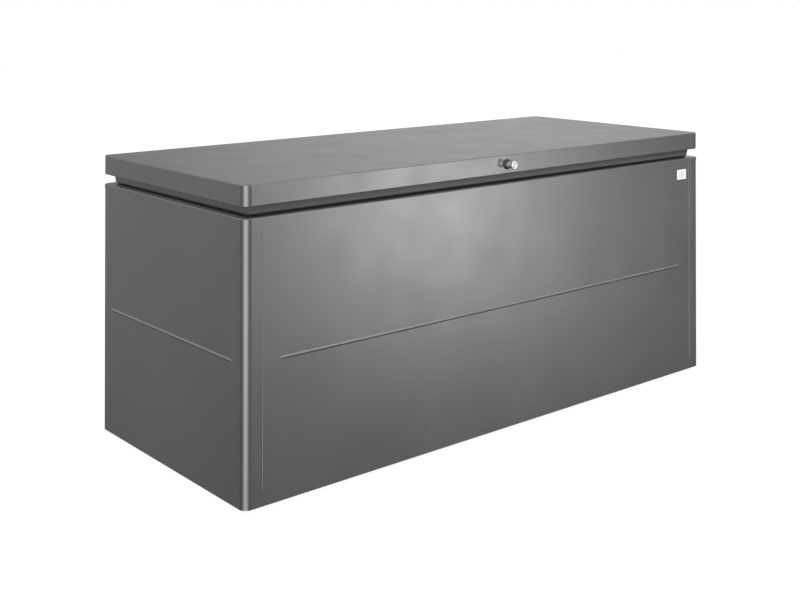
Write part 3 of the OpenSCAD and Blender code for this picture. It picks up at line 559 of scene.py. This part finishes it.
def make_feet():
    """Moulded glides with a rounded rim and a hollow in the sole."""
    hollow = 1.2 * MM
    stem = 1.5 * MM
    bm = bmesh.new()
    for low, high in islands("feet"):
        r = (high.x - low.x) / 2
        h = high.z - low.z - stem
        at = ((low.x + high.x) / 2, (low.y + high.y) / 2, low.z)
        turned_into(bm, at, (0, 0, 1), [
            (0.25 * r, hollow), (0.62 * r, hollow), (0.7 * r, 0), (r - 2.5 * MM, 0), (r - 1 * MM, 0.5 * MM),
            (r - 0.2 * MM, 1.6 * MM), (r, 3 * MM), (r - 0.2 * MM, h - 0.8 * MM), (r - 0.8 * MM, h),
            (0.25 * r, h), (0.25 * r, h + stem)])
    piece("glides", bm, "root", "glide_plastic", "feet")


def ball_centre(node):
    """The centre of the ball at the inner end of a stud, which is on the spring's joint."""
    low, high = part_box(node)
    middle = middle_of((low, high))
    middle.x = high[0] - BALL_R if middle.x < 0 else low[0] + BALL_R
    return middle


def make_wiper(side, lower, along):
    """The ring where the rod leaves the tube. lower is the lower ball, and along runs up the spring."""
    gland = middle_of(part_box(side + "_spring_gland"))
    above_gland = 8 * MM
    top = lower + along * ((gland - lower).dot(along) + above_gland)
    profile = [(5.2, 0), (8.5, 0), (8.7, 0.5), (7.2, 1.4), (5.7, 2.3), (5.2, 2.2)]    # mm
    bm = bmesh.new()
    tube_into(bm, top, along, [(r * MM, height * MM) for r, height in profile])
    piece(side + "_wiper", bm, side + "_spring_tube", "black_plastic")


def make_clip(name, body, ball, out):
    """An open ring of wire beside a ball. Its gap is on the side that out, along the spring, points to."""
    across = Vector((1, 0, 0))
    sideways = across.cross(out)
    beside = 4.5 * MM
    clip_r = 9.4 * MM
    steps = 24
    points = []
    for i in range(steps + 1):
        a = math.radians(-150 + 300 * i / steps)
        points.append(ball + across * beside + (-out * math.cos(a) + sideways * math.sin(a)) * clip_r)
    bm = bmesh.new()
    wire_into(bm, points, 0.7 * MM)
    piece(name, bm, body, "zinc_steel")


def make_spring_details():
    """A wiper ring and two wire clips for each gas spring."""
    for side in ("left", "right"):
        lower = ball_centre(side + "_lower_ball_stud")
        upper = ball_centre(side + "_upper_ball_stud")
        along = (upper - lower).normalized()
        make_wiper(side, lower, along)
        make_clip(side + "_lower_clip", side + "_spring_tube", lower, along)
        make_clip(side + "_upper_clip", side + "_spring_rod", upper, -along)


def wire_into(bm, points, radius, segments=10):
    """Adds a round wire along points."""
    rings = []
    side = None
    for i, point in enumerate(points):
        ahead = (points[min(i + 1, len(points) - 1)] - points[max(i - 1, 0)]).normalized()
        side = ahead.orthogonal() if side is None else side - ahead * side.dot(ahead)
        side.normalize()
        other = ahead.cross(side)
        rings.append([bm.verts.new(point + (side * math.cos(a) + other * math.sin(a)) * radius)
                      for a in (2 * math.pi * k / segments for k in range(segments))])
    loft_into(bm, rings)


def make_fasteners():
    screws("floor_fixings", "floor_screws", "root", (0, 0, 1), *FLOOR_SCREW)
    screws("hinge_body_fixings", "hinge_body_screws", "root", (0, 0, 1), *HINGE_SCREW)
    screws("hinge_lid_fixings", "hinge_lid_screws", "lid", LID_SCREW_OUT, *HINGE_SCREW)
    hex_bolts("seam_fixings", "seam_bolts", "root", lambda at: Vector((-1 if at.x < 0 else 1, 0, 0)))
    hex_nuts("seam_fixing_nuts", "seam_nuts", "root", SEAM_NUT_BORE)
    hex_nuts("lower_socket_nuts", "lower_stud_nuts", "root", STUD_NUT_BORE)
    hex_nuts("upper_socket_nuts", "upper_stud_nuts", "lid", STUD_NUT_BORE)


# ---- Stage and lights ----

# (elevation, brightness), in degrees from straight down to straight up
SKY_LEVELS = [(-90, 0.1), (-25, 0.18), (-8, 0.37), (6, 0.42), (25, 0.44), (60, 0.3), (90, 0.22)]
# (azimuth, elevation, width, height, brightness), in degrees, with azimuth 0 along X and 90 along Y
SKY_LOBES = [
    # the bright patch in the front, its left shoulder and its dark right end
    (-49, -8.8, 2.4, 3.2, 10.6), (-64, -10, 8, 10, 0.34), (-36, -8, 6, 14, -0.25),
    # the sheen of the lid, and its darker left end
    (45, 12, 11, 12, 0.35), (80, 10, 12, 14, -0.36),
    # the left side
    (128, -6, 14, 12, 0.2),
    # the bright line down the near corner, and the dark ones beside it
    (224, 0, 20, 30, 3.4), (166, 0, 14, 40, -0.25), (272, 0, 12, 40, -0.25),
    # the upper flanks of the beads
    (130, 48, 30, 13, 2.2), (-50, 48, 28, 13, 2.2), (128, 10, 16, 6, 1.5), (-50, 14, 20, 6, 2.6),
    # the dark right-hand edges
    (8, -5, 14, 16, -0.3)]


def make_floor():
    """A pale floor that only the camera sees, so that its light doesn't reach the box."""
    floor_size = 40
    diffuse = 0.12
    bpy.ops.mesh.primitive_plane_add(size=floor_size, location=(0, 0, -0.5 * MM))
    plane = bpy.context.object
    plane.name = "floor"
    material = bpy.data.materials.new("floor")
    material.use_nodes = True
    tree = material.node_tree
    bsdf = tree.nodes["Principled BSDF"]
    bsdf.inputs["Base Color"].default_value = (diffuse, diffuse, diffuse, 1)
    bsdf.inputs["Roughness"].default_value = 1.0
    bsdf.inputs["Specular IOR Level"].default_value = 0.0
    bsdf.inputs["Emission Color"].default_value = (1, 1, 1, 1)
    bsdf.inputs["Emission Strength"].default_value = 0.93
    plane.data.materials.append(material)
    for ray in ("diffuse", "glossy", "transmission", "volume_scatter", "shadow"):
        setattr(plane, "visible_" + ray, False)


def sky(levels, lobes):
    """A grey studio all round the box, with soft bright and dark patches, and white to the camera."""
    world = bpy.data.worlds.new("studio")
    bpy.context.scene.world = world
    world.use_nodes = True
    tree = world.node_tree

    def calc(operation, *values):
        node = tree.nodes.new("ShaderNodeMath")
        node.operation = operation
        for value, socket in zip(values, node.inputs):
            if hasattr(value, "links"):
                tree.links.new(value, socket)
            else:
                socket.default_value = value
        return node.outputs[0]

    coords = tree.nodes.new("ShaderNodeTexCoord")
    split = tree.nodes.new("ShaderNodeSeparateXYZ")
    tree.links.new(coords.outputs["Generated"], split.inputs["Vector"])
    x, y, z = (split.outputs[axis] for axis in "XYZ")
    elevation = calc("ARCSINE", z)
    ramp = tree.nodes.new("ShaderNodeValToRGB")
    ramp.color_ramp.interpolation = "EASE"
    elements = ramp.color_ramp.elements
    while len(elements) < len(levels):
        elements.new(0.5)
    for element, (degrees, level) in zip(elements, levels):
        element.position = degrees / 180 + 0.5
        element.color = (level, level, level, 1)
    tree.links.new(calc("MULTIPLY_ADD", elevation, 1 / math.pi, 0.5), ramp.inputs["Fac"])
    total = ramp.outputs["Color"]
    for azimuth, up, width, height, level in lobes:
        c, s = math.cos(math.radians(azimuth)), math.sin(math.radians(azimuth))
        ahead = calc("ADD", calc("MULTIPLY", x, c), calc("MULTIPLY", y, s))
        aside = calc("SUBTRACT", calc("MULTIPLY", y, c), calc("MULTIPLY", x, s))
        across = calc("DIVIDE", calc("ARCTAN2", aside, ahead), math.radians(width))
        above = calc("DIVIDE", calc("SUBTRACT", elevation, math.radians(up)), math.radians(height))
        far = calc("ADD", calc("MULTIPLY", across, across), calc("MULTIPLY", above, above))
        total = calc("MULTIPLY_ADD", calc("EXPONENT", calc("MULTIPLY", far, -0.5)), level, total)
    darkest = 0.02
    brightest = 1000
    to_camera = tree.nodes.new("ShaderNodeLightPath").outputs["Is Camera Ray"]
    # both limits are 1 for the camera, which makes the sky white there
    seen = calc("MAXIMUM", calc("MAXIMUM", total, darkest), to_camera)
    limit = calc("SUBTRACT", brightest, calc("MULTIPLY", to_camera, brightest - 1))
    tree.links.new(calc("MINIMUM", seen, limit), tree.nodes["Background"].inputs["Color"])


def make_stage():
    make_floor()
    sky(SKY_LEVELS, SKY_LOBES)
    view = bpy.context.scene.view_settings
    view.view_transform = "Standard"
    view.look = "None"


make_camera()
finish_nodes()
soften(0.35 * MM, "spring_body_brackets", "spring_lid_brackets", "left_striker", "right_striker",
       "left_latch_rod", "right_latch_rod", "latch_guides", "lock_cam", "lock_nut", "floor_beams",
       "wall_stiffeners", "lid_stiffeners")
soften(0.2 * MM, "key_plug", "lock_barrel", "hinge_pins")
make_knob()
make_rosette()
make_badge()
make_seal()
make_feet()
make_spring_details()
make_fasteners()
make_stage()
